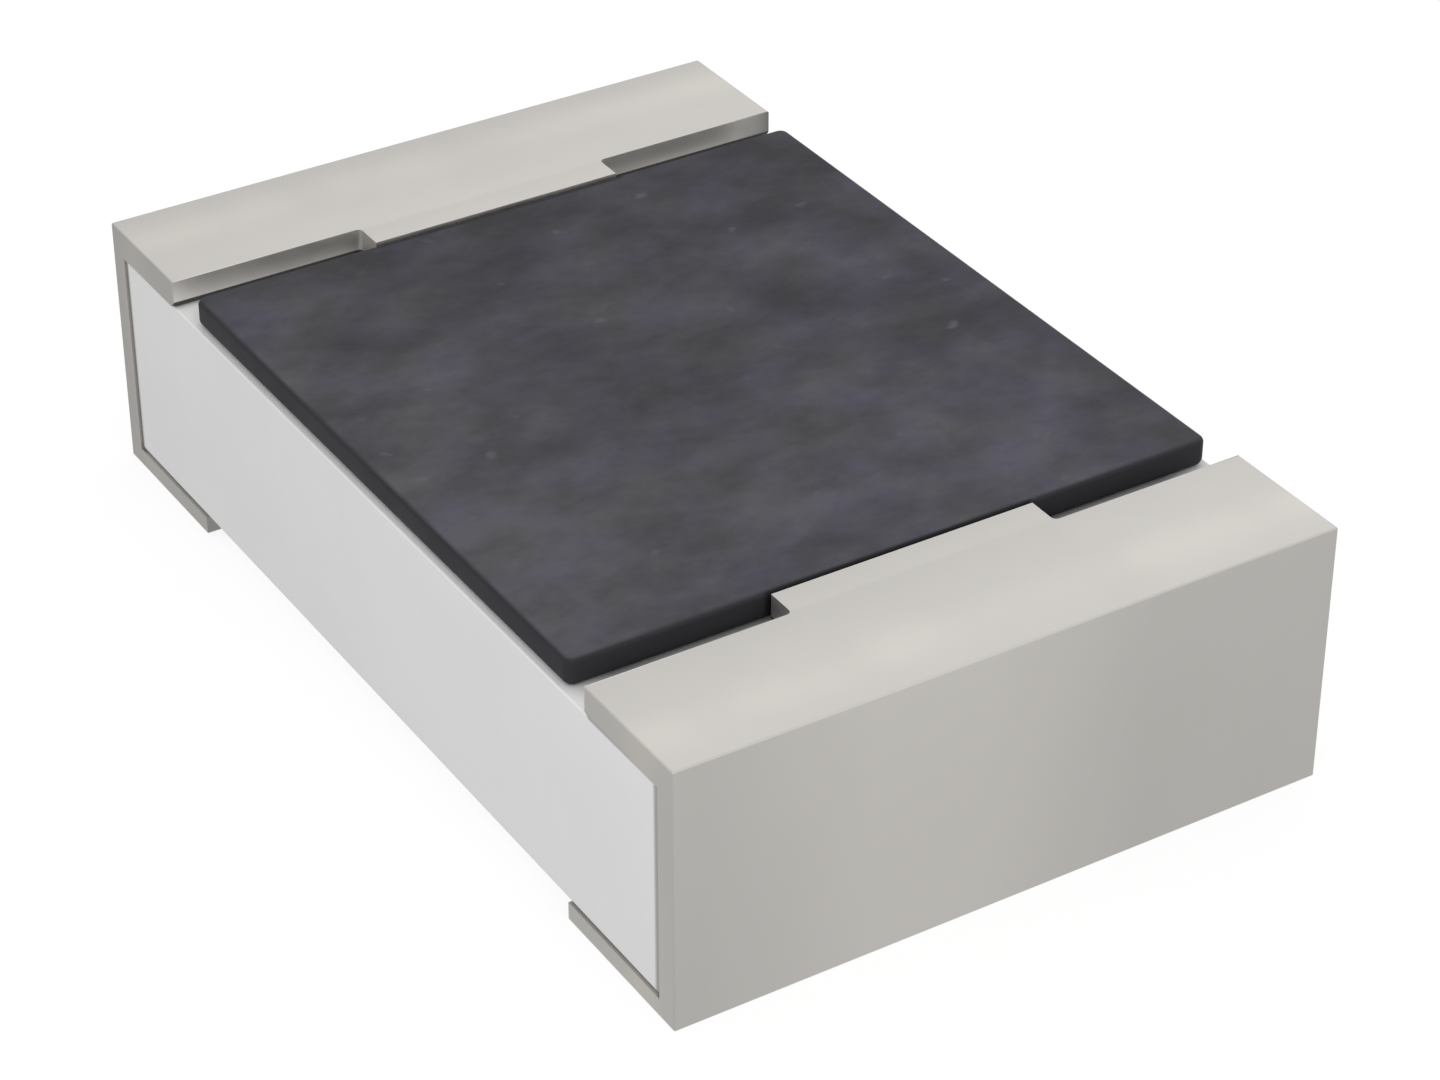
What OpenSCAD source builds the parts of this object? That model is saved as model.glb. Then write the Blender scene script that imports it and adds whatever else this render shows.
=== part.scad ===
// Thick-film chip resistor for surface mounting, case size 0805 (2012 metric).
// Frame: millimetres, +X along the length, +Z up, origin at the middle of the solder side.
// The layers are built up as on the real chip: ceramic plate, printed silver, resistive film,
// glass, dark overcoat, and the nickel and tin plated over the silver at both ends.

/* [Ceramic plate] */
// Length of the plate
ceramic_l = 1.91; // [1.60:0.01:2.40]
// Width of the plate
ceramic_w = 1.268; // [1.10:0.001:1.60]
// Thickness of the plate
ceramic_t = 0.413; // [0.250:0.001:0.600]
// Rounding of the plate's edges
ceramic_edge_r = 0.012; // [0.004:0.001:0.030]

/* [Terminals] */
// Metal over the top face of the plate, all layers together
top_wall = 0.055; // [0.045:0.001:0.080]
// Metal over the end face of the plate, all layers together
end_wall = 0.045; // [0.035:0.001:0.080]
// Metal under the solder side of the plate, all layers together
bottom_wall = 0.035; // [0.030:0.001:0.080]
// How far the metal stands proud of the plate's long sides
side_proud = 0.002; // [0.001:0.001:0.020]
// Length of the band on the top face, from the chip's end
top_band = 0.263; // [0.18:0.001:0.34]
// Width of the tab in the middle of the top band
tab_w = 0.51; // [0.30:0.01:0.90]
// Length of the tab past the top band
tab_reach = 0.062; // [0.04:0.001:0.12]
// Length of the band on the solder side, from the chip's end
bottom_band = 0.33; // [0.20:0.01:0.50]
// Rounding of the terminal's outer edges
terminal_edge_r = 0.008; // [0.003:0.001:0.014]

/* [Layers inside the terminals] */
// Thickness of the printed silver
silver_t = 0.012; // [0.006:0.001:0.016]
// Thickness of the nickel over the silver
nickel_t = 0.008; // [0.004:0.001:0.010]
// Thickness of the tin over the nickel's sides and inner ends
tin_edge_t = 0.015; // [0.010:0.001:0.025]

/* [Overcoat] */
// Thickness of the coat over the plate
coat_t = 0.055; // [0.045:0.001:0.080]
// Gap between the coat and the tabs
coat_gap = 0.008; // [0.004:0.001:0.020]
// Ceramic left bare beside the coat on each long side
coat_margin = 0.009; // [0.004:0.001:0.060]
// Rounding of the coat's upper and lower edges
coat_edge_r = 0.010; // [0.004:0.001:0.020]
// Rounding of the coat's upright corners
coat_corner_r = 0.010; // [0.004:0.001:0.060]

/* [Resistor under the overcoat] */
// How far the silver runs in under the coat
silver_tail = 0.20; // [0.14:0.01:0.30]
// How far under the coat the silver widens to the film's width
silver_spread_in = 0.08; // [0.04:0.01:0.10]
// Width of the resistive film
film_w = 0.84; // [0.50:0.01:1.00]
// Thickness of the resistive film
film_t = 0.010; // [0.006:0.001:0.012]
// Overlap of the film on each silver tail
film_lap = 0.06; // [0.04:0.01:0.09]
// Thickness of the glass over the film
glass_t = 0.008; // [0.005:0.001:0.010]
// Glass past the film on each long side
glass_margin = 0.04; // [0.02:0.01:0.06]
// Width of the laser trim cut
trim_kerf = 0.03; // [0.02:0.01:0.06]
// Length of the trim cut, from the film's edge inwards
trim_depth = 0.34; // [0.10:0.01:0.40]
// Distance of the trim cut from the middle of the film
trim_offset = 0.10; // [0.00:0.01:0.20]

/* [Hidden] */
// Facets of the small rounded edges
$fn = 48;
// Length by which a cutting shape runs past what it cuts
past = 0.1;

// Heights of the layers
plate_low = bottom_wall;
plate_top = plate_low + ceramic_t;
chip_top = plate_top + top_wall;
silver_top = plate_top + silver_t;

// Places along the length, measured from the middle
plate_end = ceramic_l / 2;
chip_end = plate_end + end_wall;
band_end = chip_end - top_band;
tab_end = band_end - tab_reach;
bottom_end = chip_end - bottom_band;
coat_end = tab_end - coat_gap;
spread_end = coat_end - silver_spread_in;
tail_end = coat_end - silver_tail;
lap_end = tail_end + film_lap;

// Widths of the layers
terminal_w = ceramic_w + 2 * side_proud;
coat_w = ceramic_w - 2 * coat_margin;
glass_w = film_w + 2 * glass_margin;

// Depth of each plated layer inside the terminal's outer faces at the sides and inner ends
nickel_in = tin_edge_t;
silver_in = tin_edge_t + nickel_t;
silver_w = terminal_w - 2 * silver_in;

// A box from x0 to x1 and z0 to z1, centred across the width
module bar(x0, x1, width, z0, z1) {
    translate([x0, -width / 2, z0]) cube([x1 - x0, width, z1 - z0]);
}

// A centred rectangle with round corners
module round_rect(a, b, r) {
    square([a - 2 * r, b], center = true);
    square([a, b - 2 * r], center = true);
    for (sx = [-1, 1], sy = [-1, 1])
        translate([sx * (a / 2 - r), sy * (b / 2 - r)]) circle(r);
}

// A centred block with round upright corners and round upper and lower edges
module round_block(l, w, h, corner_r, edge_r) {
    intersection() {
        linear_extrude(h + past, center = true) round_rect(l, w, corner_r);
        rotate([90, 0, 0]) linear_extrude(w + past, center = true) round_rect(l, h, edge_r);
        rotate([90, 0, 90]) linear_extrude(l + past, center = true) round_rect(w, h, edge_r);
    }
}

// A solid drawn for the right-hand end, at the end that side names: 1 right, -1 left
module at_end(side) {
    mirror([side < 0 ? 1 : 0, 0, 0]) children();
}

// The alumina plate
module substrate() {
    color("whitesmoke")
        translate([0, 0, (plate_low + plate_top) / 2])
            round_block(ceramic_l, ceramic_w, ceramic_t, ceramic_edge_r, ceramic_edge_r);
}

// The printed silver on the top face: a pad in the terminal, a neck under the tab,
// and a head as wide as the film under the coat
module top_electrode(side) {
    color("lightgray") at_end(side) {
        bar(band_end + silver_in, plate_end, silver_w, plate_top, silver_top);
        bar(tail_end, plate_end, tab_w - 2 * silver_in, plate_top, silver_top);
        bar(tail_end, spread_end, film_w, plate_top, silver_top);
    }
}

// The printed silver on the solder side
module bottom_electrode(side) {
    color("lightgray") at_end(side)
        bar(bottom_end + silver_in, plate_end, silver_w, plate_low - silver_t, plate_low);
}

// The silver on the end face, over the ends of the top and bottom silver
module end_electrode(side) {
    color("silver") at_end(side)
        bar(plate_end, plate_end + silver_t, silver_w, plate_low - silver_t, silver_top);
}

// The cut that the laser makes from one long side to trim the value
module trim_cut() {
    translate([trim_offset - trim_kerf / 2, -glass_w / 2 - past, plate_top])
        cube([trim_kerf, past + glass_margin + trim_depth, coat_t]);
}

// A printed layer that lies between the silver tails and laps up over them.
// It runs from the height low in the middle and from the height low_on_silver on the tails.
module lapped_layer(width, thickness, low, low_on_silver) {
    riser_end = tail_end - thickness;
    difference() {
        union() {
            bar(-tail_end, tail_end, width, low, low + thickness);
            for (side = [-1, 1]) at_end(side) {
                bar(riser_end, tail_end, width, low, low_on_silver + thickness);
                bar(riser_end, lap_end, width, low_on_silver, low_on_silver + thickness);
            }
        }
        trim_cut();
    }
}

// The resistive film, printed on the plate from one silver tail to the other
module resistive_film() {
    color("black") lapped_layer(film_w, film_t, plate_top, silver_top);
}

// The glass over the film
module glass_coat() {
    color("darkseagreen") difference() {
        lapped_layer(glass_w, glass_t + film_t, plate_top, silver_top);
        resistive_film();
        for (side = [-1, 1]) top_electrode(side);
    }
}

// The dark resin coat, filling the trim cut and bedded over all that lies under it
module overcoat() {
    color("dimgray") difference() {
        translate([0, 0, plate_top + coat_t / 2])
            round_block(2 * coat_end, coat_w, coat_t, coat_corner_r, coat_edge_r);
        resistive_film();
        glass_coat();
        for (side = [-1, 1]) top_electrode(side);
    }
}

// The outline of a plated terminal layer: a wall over the plate's end, a leg with a tab over the top face
// and a leg under the solder side. Its faces lie the given depths inside the terminal's outer faces.
module channel(in_top, in_end, in_bottom, in_side) {
    outer = chip_end - in_end;
    width = terminal_w - 2 * in_side;
    low = in_bottom;
    high = chip_top - in_top;
    bar(plate_end, outer, width, low, high);
    bar(band_end + in_side, outer, width, plate_top, high);
    bar(tab_end + in_side, outer, tab_w - 2 * in_side, plate_top, high);
    bar(bottom_end + in_side, outer, width, low, plate_low);
}

// The space that the nickel takes up together with the silver inside it
module nickel_channel() {
    channel(top_wall - silver_t - nickel_t, end_wall - silver_t - nickel_t,
            bottom_wall - silver_t - nickel_t, nickel_in);
}

// The nickel over the silver
module nickel_barrier(side) {
    color("darkgray") difference() {
        at_end(side) nickel_channel();
        top_electrode(side);
        end_electrode(side);
        bottom_electrode(side);
    }
}

// The tin over the nickel, with the terminal's outer edges rounded
module tin_plating(side) {
    color("gainsboro") difference() {
        at_end(side) intersection() {
            channel(0, 0, 0, 0);
            translate([0, 0, chip_top / 2])
                round_block(2 * chip_end, terminal_w, chip_top, terminal_edge_r, terminal_edge_r);
        }
        at_end(side) nickel_channel();
        top_electrode(side);
        end_electrode(side);
        bottom_electrode(side);
    }
}

substrate();
bottom_electrode(-1);  // bottom_electrode_left
bottom_electrode(1);  // bottom_electrode_right
top_electrode(-1);  // top_electrode_left
top_electrode(1);  // top_electrode_right
resistive_film();
glass_coat();
overcoat();
end_electrode(-1);  // end_electrode_left
end_electrode(1);  // end_electrode_right
nickel_barrier(-1);  // nickel_barrier_left
nickel_barrier(1);  // nickel_barrier_right
tin_plating(-1);  // tin_plating_left
tin_plating(1);  // tin_plating_right
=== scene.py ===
import math

import bmesh
import bpy
from mathutils import Matrix, Vector


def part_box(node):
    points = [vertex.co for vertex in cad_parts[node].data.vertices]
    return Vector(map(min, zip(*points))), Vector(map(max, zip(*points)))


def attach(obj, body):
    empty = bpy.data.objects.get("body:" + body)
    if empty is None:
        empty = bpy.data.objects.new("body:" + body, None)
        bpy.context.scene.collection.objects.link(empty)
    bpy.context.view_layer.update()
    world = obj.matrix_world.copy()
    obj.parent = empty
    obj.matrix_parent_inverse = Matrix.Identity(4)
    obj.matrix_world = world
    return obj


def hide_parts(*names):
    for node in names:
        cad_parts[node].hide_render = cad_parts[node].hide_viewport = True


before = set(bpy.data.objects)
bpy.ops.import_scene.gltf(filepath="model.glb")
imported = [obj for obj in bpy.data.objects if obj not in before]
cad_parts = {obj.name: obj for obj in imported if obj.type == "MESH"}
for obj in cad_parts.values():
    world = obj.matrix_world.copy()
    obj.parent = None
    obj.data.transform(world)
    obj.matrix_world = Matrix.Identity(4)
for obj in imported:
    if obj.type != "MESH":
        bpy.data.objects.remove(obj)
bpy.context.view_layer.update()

# Ceramic plate
# White alumina, fired as a scribed sheet and snapped apart, so its edges are worn. The other layers are
# printed or plated on it. Its corners carry painted shade, grey where the end metal begins, and its top
# face carries painted shade beside the overcoat's ends. All lengths are in millimetres.
mm = 0.001
plate_edge_r = 0.012
plate_upper_edge_r = 0.004
round_steps = 8
same_place = 0.0001
sharp_angle = math.radians(30)
ceramic_light = (0.838, 0.838, 0.836)
ceramic_dark = (0.822, 0.822, 0.820)
ceramic_shades = [(0.35, ceramic_dark), (0.65, ceramic_light)]
ceramic_cloud = 0.25
ceramic_grain = 0.007
ceramic_grain_depth = 0.0003
ceramic_roughness = (0.55, 0.70)
ceramic_specular = 0.35
# Painted shade: grey at the plate's corners where the end metal begins.
ceramic_corner_shade = (0.400, 0.400, 0.395)
corner_shade_start = 0.938
corner_shade_full = 0.945
# Painted shade on the top face in the notches beside the overcoat's ends.
notch_shade_grey = (0.300, 0.300, 0.297)
notch_shade_start = 0.648
notch_shade_full = 0.660
notch_shade_fade = 0.680
notch_shade_stop = 0.725
notch_shade_edge = 0.540
notch_shade_edge_stop = 0.634


def box_in_mm(node):
    """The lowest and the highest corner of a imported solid, in millimetres."""
    low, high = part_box(node)
    return low / mm, high / mm


def block_between(low, high):
    """A box between two corners."""
    bm = bmesh.new()
    bmesh.ops.create_cube(bm, size=1)
    bmesh.ops.scale(bm, vec=high - low, verts=bm.verts)
    bmesh.ops.translate(bm, vec=(low + high) / 2, verts=bm.verts)
    return bm


def lies_at(vert, place):
    """True where a vertex has the coordinates that place names, such as {"z": 0.5}."""
    return all(abs(getattr(vert.co, axis) - value) < same_place for axis, value in place.items())


def edges_at(bm, **place):
    """The edges with both ends at the given x, y or z."""
    return [edge for edge in bm.edges if all(lies_at(vert, place) for vert in edge.verts)]


def upright_edges(bm):
    """The edges that run straight up."""
    return [edge for edge in bm.edges if (edge.verts[0].co - edge.verts[1].co).xy.length < same_place]


def round_edges(bm, edges, radius, steps=round_steps):
    """Rounds the given edges."""
    bmesh.ops.bevel(bm, geom=edges, offset=radius, offset_type="OFFSET", affect="EDGES",
                    segments=steps, profile=0.5, material=-1, clamp_overlap=True)


def piece_from(bm, name):
    """Turns a mesh in millimetres into a piece in metres, with smooth rounded edges and flat faces."""
    bmesh.ops.recalc_face_normals(bm, faces=bm.faces)
    bmesh.ops.scale(bm, vec=Vector((mm, mm, mm)), verts=bm.verts)
    for face in bm.faces:
        face.smooth = True
    for edge in bm.edges:
        edge.smooth = edge.calc_face_angle(0.0) < sharp_angle
    mesh = bpy.data.meshes.new(name)
    bm.to_mesh(mesh)
    bm.free()
    piece = bpy.data.objects.new(name, mesh)
    bpy.context.scene.collection.objects.link(piece)
    flat_faces = piece.modifiers.new("flat_faces", "WEIGHTED_NORMAL")
    flat_faces.mode = "FACE_AREA"
    flat_faces.keep_sharp = True
    flat_faces.thresh = 0.0
    return piece


def new_material(name):
    """A material, its node tree and its shader."""
    material = bpy.data.materials.new(name)
    material.use_nodes = True
    tree = material.node_tree
    return material, tree, tree.nodes["Principled BSDF"]


def clouds(tree, size, detail=3.0, roughness=0.5, stretch=(1, 1, 1), turn=0.0, shift=(0, 0, 0)):
    """A cloudy pattern on the piece, with patches of about the given size in millimetres."""
    place = tree.nodes.new("ShaderNodeTexCoord")
    mapping = tree.nodes.new("ShaderNodeMapping")
    mapping.inputs["Location"].default_value = Vector(shift) * mm
    mapping.inputs["Rotation"].default_value = (0, 0, math.radians(turn))
    mapping.inputs["Scale"].default_value = [1 / factor for factor in stretch]
    noise = tree.nodes.new("ShaderNodeTexNoise")
    noise.inputs["Scale"].default_value = 1 / (size * mm)
    noise.inputs["Detail"].default_value = detail
    noise.inputs["Roughness"].default_value = roughness
    tree.links.new(place.outputs["Object"], mapping.inputs["Vector"])
    tree.links.new(mapping.outputs["Vector"], noise.inputs["Vector"])
    return noise.outputs["Fac"]


def place_along(tree, axis):
    """Where a point lies along an axis, in millimetres."""
    place = tree.nodes.new("ShaderNodeTexCoord")
    split = tree.nodes.new("ShaderNodeSeparateXYZ")
    in_mm = tree.nodes.new("ShaderNodeMath")
    in_mm.operation = "DIVIDE"
    in_mm.inputs[1].default_value = mm
    tree.links.new(place.outputs["Object"], split.inputs["Vector"])
    tree.links.new(split.outputs[axis], in_mm.inputs[0])
    return in_mm.outputs["Value"]


def distance_along(tree, axis):
    """How far a point lies from the middle along an axis, on either side, in millimetres."""
    either_side = tree.nodes.new("ShaderNodeMath")
    either_side.operation = "ABSOLUTE"
    tree.links.new(place_along(tree, axis), either_side.inputs[0])
    return either_side.outputs["Value"]


def values(tree, pattern, low, high, start=0.3, stop=0.7):
    """A number that runs from low to high, and no further, as a pattern runs from start to stop."""
    span = tree.nodes.new("ShaderNodeMapRange")
    span.inputs["From Min"].default_value = start
    span.inputs["From Max"].default_value = stop
    span.inputs["To Min"].default_value = low
    span.inputs["To Max"].default_value = high
    tree.links.new(pattern, span.inputs["Value"])
    return span.outputs["Result"]


def combined(tree, operation, one, other):
    """Two numbers put together by an operation, such as ADD or MULTIPLY."""
    result = tree.nodes.new("ShaderNodeMath")
    result.operation = operation
    tree.links.new(one, result.inputs[0])
    tree.links.new(other, result.inputs[1])
    return result.outputs["Value"]


def colours(tree, pattern, stops, easing="EASE"):
    """Colours along a pattern. Each stop is a position and a colour."""
    ramp = tree.nodes.new("ShaderNodeValToRGB")
    ramp.color_ramp.interpolation = easing
    while len(ramp.color_ramp.elements) < len(stops):
        ramp.color_ramp.elements.new(1.0)
    for element, (position, colour) in zip(ramp.color_ramp.elements, stops):
        element.position = position
        element.color = (*colour, 1)
    tree.links.new(pattern, ramp.inputs["Fac"])
    return ramp.outputs["Color"]


def mixed(tree, amount, shade, colour, blend="MIX"):
    """A shade with a plain colour laid over it by an amount, or multiplied with it."""
    mix = tree.nodes.new("ShaderNodeMix")
    mix.data_type = "RGBA"
    mix.blend_type = blend
    mix.inputs["B"].default_value = (*colour, 1)
    tree.links.new(amount, mix.inputs["Factor"])
    tree.links.new(shade, mix.inputs["A"])
    return mix.outputs["Result"]


def grain(tree, shader, pattern, depth):
    """Fine bumps of the given depth in millimetres."""
    bump = tree.nodes.new("ShaderNodeBump")
    bump.inputs["Distance"].default_value = depth * mm
    tree.links.new(pattern, bump.inputs["Height"])
    tree.links.new(bump.outputs["Normal"], shader.inputs["Normal"])


plate_low, plate_high = box_in_mm("substrate")
plate_mesh = block_between(plate_low, plate_high)
round_edges(plate_mesh, upright_edges(plate_mesh) + edges_at(plate_mesh, z=plate_low.z), plate_edge_r)
round_edges(plate_mesh, edges_at(plate_mesh, z=plate_high.z), plate_upper_edge_r)
ceramic_plate = piece_from(plate_mesh, "ceramic_plate")

alumina, tree, shader = new_material("fired_alumina")
shade = colours(tree, clouds(tree, ceramic_cloud, detail=5), ceramic_shades)
# Painted shade: grey in the grooves at the plate's corners where the end metal begins.
near_metal = values(tree, distance_along(tree, "X"), 0, 1, corner_shade_start, corner_shade_full)
shade = mixed(tree, near_metal, shade, ceramic_corner_shade)
# Painted shade on the top face in the notches beside the overcoat's ends, fading out sideways.
notch_shade = values(tree, distance_along(tree, "X"), 0, 1, notch_shade_start, notch_shade_full)
for axis, start, stop in (("X", notch_shade_fade, notch_shade_stop), ("Y", notch_shade_edge, notch_shade_edge_stop)):
    fading = values(tree, distance_along(tree, axis), 1, 0, start, stop)
    notch_shade = combined(tree, "MULTIPLY", notch_shade, fading)
shade = mixed(tree, notch_shade, shade, notch_shade_grey)
fired_grain = clouds(tree, ceramic_grain, detail=2)
tree.links.new(shade, shader.inputs["Base Color"])
tree.links.new(values(tree, fired_grain, *ceramic_roughness), shader.inputs["Roughness"])
shader.inputs["Specular IOR Level"].default_value = ceramic_specular
grain(tree, shader, fired_grain, ceramic_grain_depth)
ceramic_plate.data.materials.append(alumina)
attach(ceramic_plate, "root")
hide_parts("substrate")

# Printed silver
# Silver paste, printed on both faces of the plate, rolled on its ends and fired to a dull, grainy metal.
# It carries the current from the film to the terminals and lies hidden under the later layers.
silver_bright = (0.78, 0.76, 0.72)
silver_dull = (0.62, 0.60, 0.56)
silver_shades = [(0.35, silver_dull), (0.65, silver_bright)]
silver_roughness = (0.60, 0.40)
silver_grain = 0.012
silver_grain_depth = 0.0015


def grainy_finish(name, shades, roughness, size, depth, detail=4, metallic=0.0):
    """A material whose colour, roughness and bumps all follow one cloudy grain."""
    material, tree, shader = new_material(name)
    pattern = clouds(tree, size, detail)
    tree.links.new(colours(tree, pattern, shades), shader.inputs["Base Color"])
    tree.links.new(values(tree, pattern, *roughness), shader.inputs["Roughness"])
    shader.inputs["Metallic"].default_value = metallic
    grain(tree, shader, pattern, depth)
    return material


def dress(node, material):
    """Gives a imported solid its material."""
    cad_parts[node].material_slots[0].material = material


silver = grainy_finish("fired_silver_print", silver_shades, silver_roughness, silver_grain,
                       silver_grain_depth, metallic=1.0)
for side in ("left", "right"):
    for face in ("bottom", "top", "end"):
        dress(f"{face}_electrode_{side}", silver)

# Resistive film
# A black paste of metal oxide and glass, printed between the silver tails and fired.
# A laser cuts into it from one side to trim its value.
film_black = (0.018, 0.018, 0.020)
film_grey = (0.055, 0.055, 0.058)
film_shades = [(0.40, film_black), (0.70, film_grey)]
film_roughness = (0.45, 0.30)
film_grain = 0.015
film_grain_depth = 0.0008

film = grainy_finish("fired_oxide_film", film_shades, film_roughness, film_grain, film_grain_depth)
dress("resistive_film", film)

# Glass over the film
# A thin green glaze is fired over the film before trimming, so that the laser cut has clean edges.
# The cut goes through the glaze and the film together.
glaze_dark = (0.16, 0.25, 0.19)
glaze_light = (0.27, 0.38, 0.30)
glaze_shades = [(0.35, glaze_dark), (0.70, glaze_light)]
glaze_roughness = (0.10, 0.22)
glaze_flow = 0.08
glaze_flow_depth = 0.001

glaze = grainy_finish("green_glaze", glaze_shades, glaze_roughness, glaze_flow, glaze_flow_depth, detail=3)
dress("glass_coat", glaze)

# Overcoat
# Dark slate resin, printed over the resistor and cured, flush with the terminals and bedded over the layers
# below. Its face has a pale bloom, cloudy and violet in places, with a few light smudges, and painted light
# makes it a little lighter towards the near end and the front. Its sides and rolled edges carry painted
# shade, darkest beside the tabs.
coat_corner_r = 0.018
coat_lower_edge_r = 0.016
coat_upper_edge_r = 0.010
coat_dark = (0.033, 0.032, 0.038)
coat_mid = (0.060, 0.058, 0.070)
coat_light = (0.093, 0.090, 0.110)
coat_shades = [(0.28, coat_dark), (0.50, coat_mid), (0.72, coat_light)]
drift_size = 0.125
drift_roughness = 0.62
drift_stretch = (1, 1.5, 1)
drift_turn = 30
patch_size = 0.5
patch_shift = (1.4, 0.9, 0)
patch_strength = 0.08
# Painted light: the face is lighter towards the near end and the front.
lighter_to_near_end = 0.06
lighter_to_front = 0.04
tint_size = 0.12
tint_shift = (0.7, 0.2, 0)
olive_to_front = 0.05
olive_tint = (0.99, 1.015, 0.92)
olive_span = (0.50, 0.65)
violet_tint = (1.00, 0.972, 1.09)
violet_span = (0.35, 0.50)
coat_smudge = (0.125, 0.125, 0.142)
smudge_size = 0.05
smudge_roughness = 0.4
smudge_shift = (0.3, 0.1, 0)
smudge_span = (0.71, 0.86)
# Painted shade on the sides and rolled edges below the face.
coat_side_shade = (0.031, 0.030, 0.034)
side_shade_depth = 0.003
# Painted shade on the end edges in the gaps beside the tabs.
coat_shaded = (0.010, 0.010, 0.011)
near_shade_start = 0.007
near_shade_full = 0.002
far_shade_start = 0.017
far_shade_full = 0.008
tab_w = 0.51
tab_side_fade = 0.010
coat_roughness = (0.48, 0.60)
coat_specular = 0.15
coat_grain = 0.02
coat_grain_depth = 0.0004

coat_low, coat_high = box_in_mm("overcoat")
coat_mesh = block_between(coat_low, coat_high)
round_edges(coat_mesh, upright_edges(coat_mesh), coat_corner_r)
round_edges(coat_mesh, edges_at(coat_mesh, z=coat_low.z), coat_lower_edge_r)
round_edges(coat_mesh, edges_at(coat_mesh, z=coat_high.z), coat_upper_edge_r)
overcoat = piece_from(coat_mesh, "overcoat_slab")

resin, tree, shader = new_material("slate_resin")
drift = clouds(tree, drift_size, detail=8, roughness=drift_roughness, stretch=drift_stretch,
               turn=drift_turn)
patches = clouds(tree, patch_size, detail=1, shift=patch_shift)
tone = combined(tree, "ADD", drift, values(tree, patches, -patch_strength, patch_strength))
# Painted light: lighter towards the near end and the front.
for axis, rise in (("x", lighter_to_near_end), ("y", -lighter_to_front)):
    low_end = getattr(coat_low, axis)
    high_end = getattr(coat_high, axis)
    tilt = values(tree, place_along(tree, axis.upper()), -rise, rise, low_end, high_end)
    tone = combined(tree, "ADD", tone, tilt)
shade = colours(tree, tone, coat_shades, easing="LINEAR")
tint = clouds(tree, tint_size, detail=5, shift=tint_shift)
to_front = values(tree, place_along(tree, "Y"), olive_to_front, -olive_to_front, coat_low.y, coat_high.y)
tint = combined(tree, "ADD", tint, to_front)
shade = mixed(tree, values(tree, tint, 0, 1, *olive_span), shade, olive_tint, "MULTIPLY")
shade = mixed(tree, values(tree, tint, 1, 0, *violet_span), shade, violet_tint, "MULTIPLY")
smudges = clouds(tree, smudge_size, detail=2, roughness=smudge_roughness, stretch=drift_stretch,
                 shift=smudge_shift)
shade = mixed(tree, values(tree, smudges, 0, 1, *smudge_span), shade, coat_smudge)
# Painted shade: the sides and rolled edges below the face are darker.
below_face = values(tree, distance_along(tree, "Z"), 1, 0, coat_high.z - side_shade_depth, coat_high.z)
shade = mixed(tree, below_face, shade, coat_side_shade)
# Painted shade on the end edges in the gaps beside the tabs, wider at the far end.
beside_tab = values(tree, distance_along(tree, "Y"), 1, 0, tab_w / 2, tab_w / 2 + tab_side_fade)
near_shade = (coat_high.x - near_shade_start, coat_high.x - near_shade_full)
far_shade = (coat_low.x + far_shade_start, coat_low.x + far_shade_full)
for start, stop in (near_shade, far_shade):
    at_end = values(tree, place_along(tree, "X"), 0, 1, start, stop)
    shade = mixed(tree, combined(tree, "MULTIPLY", at_end, beside_tab), shade, coat_shaded)
tree.links.new(shade, shader.inputs["Base Color"])
tree.links.new(values(tree, drift, *coat_roughness), shader.inputs["Roughness"])
shader.inputs["Specular IOR Level"].default_value = coat_specular
grain(tree, shader, clouds(tree, coat_grain, detail=4), coat_grain_depth)
overcoat.data.materials.append(resin)
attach(overcoat, "root")
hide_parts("overcoat")

# Nickel barrier
# Nickel is plated over the silver so that solder can't dissolve it.
# The tin covers it all over, so it would show only where the tin is worn away.
nickel_light = (0.62, 0.58, 0.52)
nickel_dark = (0.52, 0.48, 0.43)
nickel_shades = [(0.35, nickel_dark), (0.65, nickel_light)]
nickel_roughness = (0.28, 0.40)
nickel_cloud = 0.05
nickel_cloud_depth = 0.0004

nickel = grainy_finish("plated_nickel", nickel_shades, nickel_roughness, nickel_cloud, nickel_cloud_depth,
                       metallic=1.0)
for side in ("left", "right"):
    dress(f"nickel_barrier_{side}", nickel)

# Terminals
# Each end of the chip is wrapped in satin tin, plated over the nickel: a leg with a square tab on the top
# face, a wall over the end and a leg on the solder side. The left one is the right one mirrored. Its colour
# carries painted light: a painted sheen along the top legs with the end walls painted darker, a painted
# highlight down each end wall, and a painted reflection at the front of the top legs' inner faces. Painted
# shade lies where the top leg rolls under to the plate, on the ledges and upper edges, at the inner faces'
# back corners and on the left terminal's front side.
tab_reach = 0.062
tab_gap = 0.008
outer_edge_r = 0.003
sole_edge_r = 0.002
lip_edge_r = 0.003
foot_edge_r = 0.013
foot_height = 0.012
tab_root_r = 0.010
small_steps = 4
flat_angle = 0.01
doubled_within = 0.00001
# Painted sheen: tones along the top legs, and a darker painted end wall.
tin_light = (0.770, 0.741, 0.697)
tin_mid = (0.710, 0.690, 0.657)
tin_dark = (0.700, 0.679, 0.646)
tin_end = (0.648, 0.629, 0.598)
painted_sheen_stops = [(0.20, tin_dark), (0.45, tin_mid), (0.69, tin_light), (0.98, tin_dark), (1.0, tin_end)]
tin_haze = (0.670, 0.651, 0.620)
haze_size = 0.45
haze_stretch = (1, 1, 2)
haze_strength = 0.6
haze_span = (0.40, 0.60)
# Painted highlight down each end wall.
tin_end_highlight = (0.790, 0.767, 0.731)
end_highlight_strength = 0.6
end_highlight_place = -0.16
end_highlight_half = 0.10
end_highlight_fade = 0.42
end_highlight_depth = 0.004
# Painted reflection at the front of the top legs' inner faces.
tin_front_reflection = (0.890, 0.862, 0.825)
front_reflection_start = -0.41
front_reflection_full = -0.52
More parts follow.
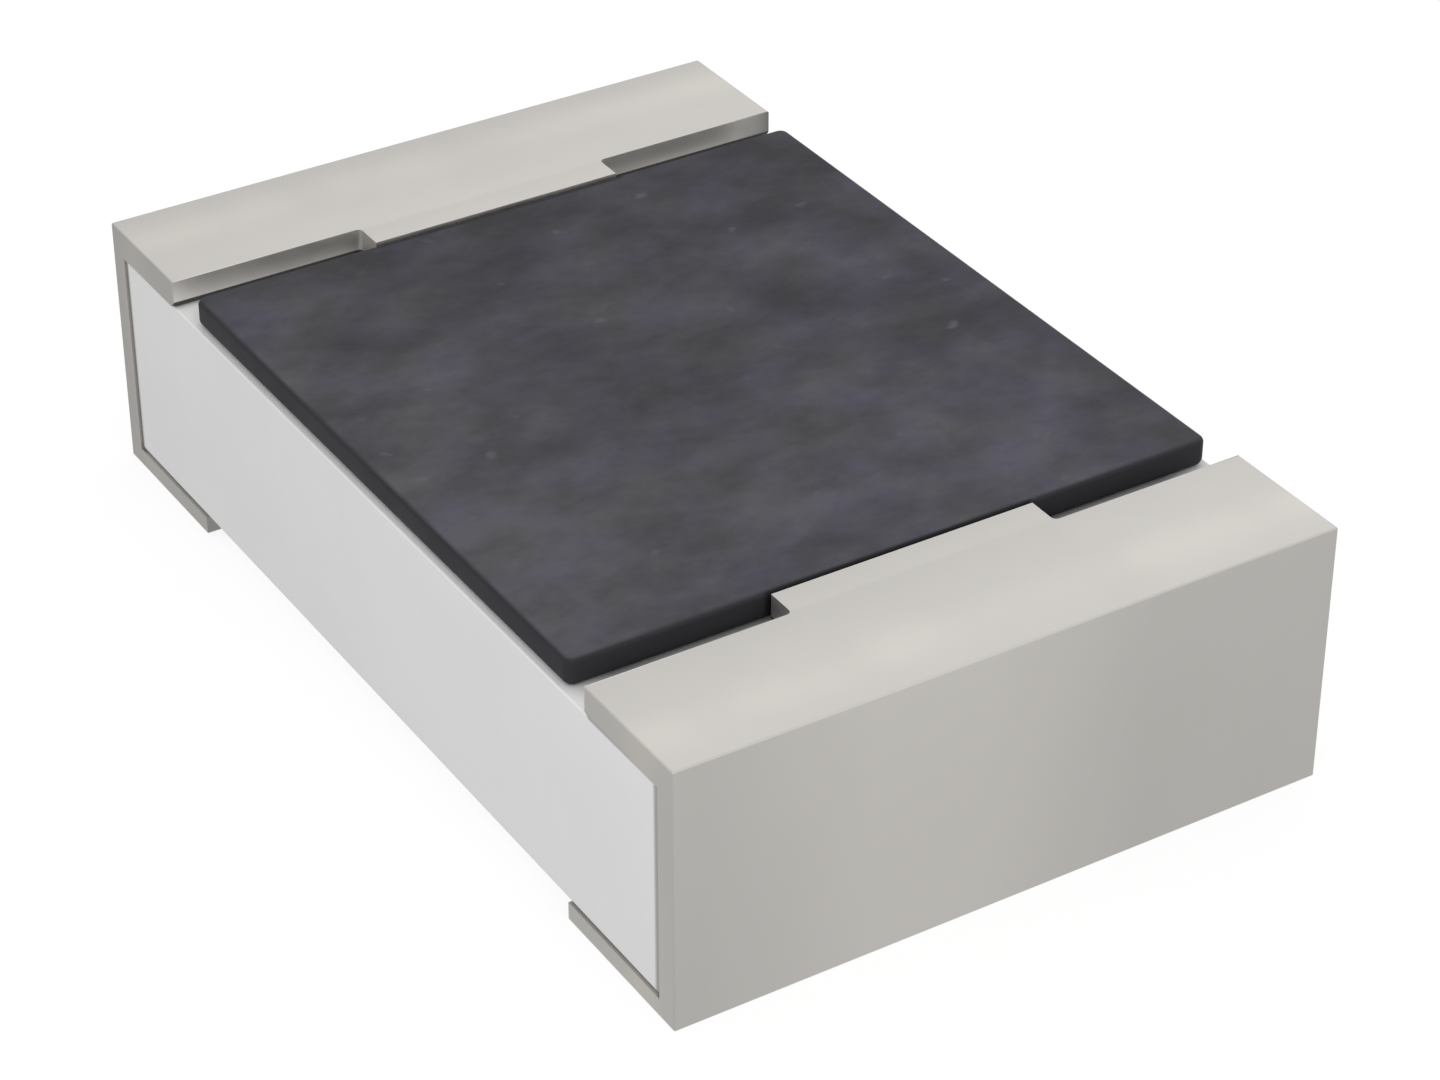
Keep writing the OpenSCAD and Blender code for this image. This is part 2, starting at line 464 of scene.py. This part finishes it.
# Painted shade in creases, on ledges and leg ends, on upper edges, at back corners and on the left front
# side.
tin_shade = (0.100, 0.098, 0.094)
foot_shade = 1.0
ledge_shade = 0.30
leg_end_shade = 0.55
edge_shade = 0.12
# Painted shade at the back corners of the top legs' inner faces.
back_corner_shade = 0.75
corner_start = 0.56
inner_face_depth = 0.003
# Painted shade on the left terminal's front side.
front_side_shade = 0.13
side_depth = 0.002
tin_roughness = (0.44, 0.50)
satin_size = 0.06
tin_grain = 0.012
tin_grain_depth = 0.0001

tin_low, tin_high = box_in_mm("tin_plating_right")
room_low, room_high = box_in_mm("nickel_barrier_right")
tab_end = coat_high.x + tab_gap
band_end = tab_end + tab_reach


def faces_at(bm, **place):
    """The faces with every corner at the given x, y or z."""
    return [face for face in bm.faces if all(lies_at(vert, place) for vert in face.verts)]


def cut_across(bm, axis, place):
    """Cuts every face that crosses a plane at the given place along an axis."""
    normal = Vector((axis == "x", axis == "y", axis == "z"))
    bmesh.ops.bisect_plane(bm, geom=bm.verts[:] + bm.edges[:] + bm.faces[:],
                           plane_co=normal * place, plane_no=normal)


def extruded(bm, faces, step):
    """Pulls faces out by a step and returns the new ones."""
    pulled = bmesh.ops.extrude_face_region(bm, geom=faces)["geom"]
    bmesh.ops.delete(bm, geom=faces, context="FACES")
    verts = [part for part in pulled if isinstance(part, bmesh.types.BMVert)]
    bmesh.ops.translate(bm, vec=Vector(step), verts=verts)
    return [part for part in pulled if isinstance(part, bmesh.types.BMFace)]


def on_inner_end(vert):
    """True for the vertices on the outline of the top leg's inner end and its tab."""
    off_tab = abs(vert.co.y) > tab_w / 2 - same_place
    return vert.co.x < tab_end + same_place or (off_tab and vert.co.x < band_end + same_place)


def inner_end_edges(bm, height):
    """The edges round the inner end of the top leg and its tab, at the given height."""
    return [edge for edge in edges_at(bm, z=height) if all(on_inner_end(vert) for vert in edge.verts)]


def shade_of_face(face):
    """How much painted shade a face gets: most where the top leg rolls under, less on the bottom leg and
    upper edges.
    """
    middle = face.calc_center_median()
    if max(abs(part) for part in face.normal) < 1 - same_place:
        rolls_under = plate_high.z < middle.z < plate_high.z + foot_height
        return foot_shade if rolls_under else edge_shade * max(face.normal.z, 0)
    if abs(middle.x - tin_low.x) < same_place:
        return leg_end_shade
    return ledge_shade if abs(middle.z - plate_low.z) < same_place else 0.0


def terminal_skin():
    """The right-hand terminal, a wall with legs and a tab pulled out of it, hollow for the inner layers."""
    bm = block_between(Vector((plate_high.x, tin_low.y, tin_low.z)), tin_high)
    for axis, place in (("z", plate_low.z), ("z", plate_high.z), ("y", -tab_w / 2), ("y", tab_w / 2)):
        cut_across(bm, axis, place)
    wall = [(face, face.calc_center_median().z) for face in faces_at(bm, x=plate_high.x)]
    top_leg = [face for face, height in wall if height > plate_high.z]
    bottom_leg = [face for face, height in wall if height < plate_low.z]
    top_leg = extruded(bm, top_leg, (band_end - plate_high.x, 0, 0))
    extruded(bm, bottom_leg, (tin_low.x - plate_high.x, 0, 0))
    tab = [face for face in top_leg if abs(face.calc_center_median().y) < same_place]
    extruded(bm, tab, (-tab_reach, 0, 0))
    bmesh.ops.dissolve_limit(bm, angle_limit=flat_angle, verts=bm.verts, edges=bm.edges)
    tab_roots = edges_at(bm, x=band_end, y=tab_w / 2) + edges_at(bm, x=band_end, y=-tab_w / 2)
    round_edges(bm, tab_roots, tab_root_r, small_steps)

    inside = faces_at(bm, z=plate_high.z) + faces_at(bm, x=plate_high.x) + faces_at(bm, z=plate_low.z)
    bmesh.ops.inset_region(bm, faces=inside, thickness=tin_high.y - room_high.y, use_even_offset=True)
    for vert in {vert for face in extruded(bm, inside, (0, 0, 0)) for vert in face.verts}:
        if lies_at(vert, {"z": plate_high.z}):
            vert.co.z = room_high.z
        if lies_at(vert, {"z": plate_low.z}):
            vert.co.z = room_low.z
        if lies_at(vert, {"x": plate_high.x}):
            vert.co.x = room_high.x

    outer = edges_at(bm, x=tin_high.x, z=tin_high.z)
    for y in (tin_low.y, tin_high.y):
        outer += edges_at(bm, x=tin_high.x, y=y) + edges_at(bm, y=y, z=tin_high.z)
    round_edges(bm, outer, outer_edge_r, small_steps)
    round_edges(bm, edges_at(bm, z=tin_low.z), sole_edge_r, small_steps)
    round_edges(bm, inner_end_edges(bm, tin_high.z), lip_edge_r, small_steps)
    round_edges(bm, inner_end_edges(bm, plate_high.z), foot_edge_r)

    bmesh.ops.remove_doubles(bm, verts=bm.verts, dist=doubled_within)
    bmesh.ops.recalc_face_normals(bm, faces=bm.faces)
    # How much painted shade each face carries.
    painted_shade = bm.faces.layers.float.new("painted_shade")
    for face in bm.faces:
        face[painted_shade] = shade_of_face(face)
    return bm


tin, tree, shader = new_material("satin_tin")
# Painted sheen: the tone along the top legs stands in for reflected light, and the end walls are painted
# darker.
painted_sheen = values(tree, distance_along(tree, "X"), 0, 1, tab_end, tin_high.x)
shade = colours(tree, painted_sheen, painted_sheen_stops)
haze = clouds(tree, haze_size, detail=3, stretch=haze_stretch)
shade = mixed(tree, values(tree, haze, 0, haze_strength, *haze_span), shade, tin_haze)
across = place_along(tree, "Y")
# Painted highlight: a soft brighter band down each end wall.
rising = values(tree, across, 0, 1, end_highlight_place - end_highlight_fade, end_highlight_place - end_highlight_half)
fading = values(tree, across, 1, 0, end_highlight_place + end_highlight_half, end_highlight_place + end_highlight_fade)
on_end = values(tree, distance_along(tree, "X"), 0, end_highlight_strength, tin_high.x - end_highlight_depth, tin_high.x)
end_highlight = combined(tree, "MULTIPLY", on_end, combined(tree, "MULTIPLY", rising, fading))
shade = mixed(tree, end_highlight, shade, tin_end_highlight)
inner_face = values(tree, distance_along(tree, "X"), 1, 0, band_end, band_end + inner_face_depth)
on_top_leg = values(tree, place_along(tree, "Z"), 0, 1, plate_low.z, plate_high.z)
inner_face = combined(tree, "MULTIPLY", inner_face, on_top_leg)
# Painted shade at the back corners of the top legs' inner faces.
back_corner = values(tree, across, 0, back_corner_shade, corner_start, tin_high.y)
shade = mixed(tree, combined(tree, "MULTIPLY", inner_face, back_corner), shade, tin_shade)
# Painted reflection: the front of the top legs' inner faces is lighter.
front_part = values(tree, across, 0, 1, front_reflection_start, front_reflection_full)
shade = mixed(tree, combined(tree, "MULTIPLY", inner_face, front_part), shade, tin_front_reflection)
# Painted shade: the left terminal's front side is a little darker.
front_side = values(tree, across, front_side_shade, 0, tin_low.y, tin_low.y + side_depth)
on_left = values(tree, place_along(tree, "X"), 1, 0, -tab_end, tab_end)
shade = mixed(tree, combined(tree, "MULTIPLY", front_side, on_left), shade, tin_shade)
# Painted shade in the crease where the top leg rolls under, on the ledges, on the bottom legs' inner ends
# and on the upper rounded edges.
shaded_faces = tree.nodes.new("ShaderNodeAttribute")
shaded_faces.attribute_name = "painted_shade"
shade = mixed(tree, shaded_faces.outputs["Fac"], shade, tin_shade)
satin = clouds(tree, satin_size, detail=4)
tree.links.new(shade, shader.inputs["Base Color"])
tree.links.new(values(tree, satin, *tin_roughness), shader.inputs["Roughness"])
shader.inputs["Metallic"].default_value = 1.0
grain(tree, shader, clouds(tree, tin_grain, detail=3), tin_grain_depth)

for side, facing in (("left", -1), ("right", 1)):
    skin = terminal_skin()
    bmesh.ops.scale(skin, vec=Vector((facing, 1, 1)), verts=skin.verts)
    terminal = piece_from(skin, f"terminal_{side}")
    terminal.data.materials.append(tin)
    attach(terminal, "root")
    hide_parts(f"tin_plating_{side}")

# Floor, light and camera
# A plain white floor that only the camera sees, even light from above and weaker light from below,
# a softbox in front of the near end, and a camera that looks down over the near corner.
floor_reach = 60
floor_drop = 0.0005
paper_grey = (0.20, 0.20, 0.20)
paper_glow = 0.83
white = (1, 1, 1)
light_above = 0.955
light_below = 0.64
horizon_blend = 0.25
far_end_dimming = 0.64
far_end_span = (-0.95, -0.65)
front_dimming = 0.90
front_span = (-0.6, 0.1)
softbox_size = 2.4
softbox_place = Vector((3.0, -2.6, 2.6))
softbox_glow = 1.2
camera_azimuth = math.radians(58.199)
camera_elevation = math.radians(33.349)
camera_distance = 7.0676
aim_height = 0.300
aim_right = 0.0576
aim_down = 0.1336
sensor_width = 36
focal_length = 99.947
clip_near = 0.1
clip_far = 1000

floor_mesh = bmesh.new()
bmesh.ops.create_grid(floor_mesh, x_segments=1, y_segments=1, size=floor_reach)
bmesh.ops.translate(floor_mesh, vec=Vector((0, 0, -floor_drop)), verts=floor_mesh.verts)
floor = piece_from(floor_mesh, "floor")
paper, tree, shader = new_material("white_paper")
shader.inputs["Base Color"].default_value = (*paper_grey, 1)
shader.inputs["Roughness"].default_value = 1.0
shader.inputs["Specular IOR Level"].default_value = 0.0
shader.inputs["Emission Color"].default_value = (*white, 1)
shader.inputs["Emission Strength"].default_value = paper_glow
floor.data.materials.append(paper)
floor.visible_diffuse = False
floor.visible_glossy = False
floor.visible_shadow = False

world = bpy.data.worlds.new("studio")
bpy.context.scene.world = world
world.use_nodes = True
tree = world.node_tree
direction = tree.nodes.new("ShaderNodeTexCoord")
split = tree.nodes.new("ShaderNodeSeparateXYZ")
tree.links.new(direction.outputs["Generated"], split.inputs["Vector"])
strength = values(tree, split.outputs["Z"], light_below, light_above, -horizon_blend, horizon_blend)
for axis, dimming, span in (("X", far_end_dimming, far_end_span), ("Y", front_dimming, front_span)):
    dimmed = values(tree, split.outputs[axis], dimming, 1, *span)
    strength = combined(tree, "MULTIPLY", strength, dimmed)
background = tree.nodes["Background"]
background.inputs["Color"].default_value = (*white, 1)
tree.links.new(strength, background.inputs["Strength"])

softbox = bpy.data.lights.new("softbox", "AREA")
softbox.size = softbox_size * mm
softbox.energy = softbox_glow * math.pi * softbox.size ** 2
softbox_stand = bpy.data.objects.new("softbox", softbox)
softbox_turn = softbox_place.to_track_quat("Z", "Y").to_matrix().to_4x4()
softbox_stand.matrix_world = Matrix.Translation(softbox_place * mm) @ softbox_turn
softbox_stand.visible_camera = False
bpy.context.scene.collection.objects.link(softbox_stand)

back = Vector((
    math.sin(camera_azimuth) * math.cos(camera_elevation),
    -math.cos(camera_azimuth) * math.cos(camera_elevation),
    math.sin(camera_elevation),
))
right = Vector((math.cos(camera_azimuth), math.sin(camera_azimuth), 0))
up = back.cross(right)
eye = Vector((0, 0, aim_height)) + aim_right * right - aim_down * up + camera_distance * back
lens = bpy.data.cameras.new("camera")
lens.sensor_width = sensor_width
lens.lens = focal_length
lens.clip_start = clip_near * mm
lens.clip_end = clip_far * mm
camera = bpy.data.objects.new("camera", lens)
camera.matrix_world = Matrix.Translation(eye * mm) @ Matrix((right, up, back)).transposed().to_4x4()
bpy.context.scene.collection.objects.link(camera)
bpy.context.scene.camera = camera
bpy.context.scene.view_settings.view_transform = "Standard"
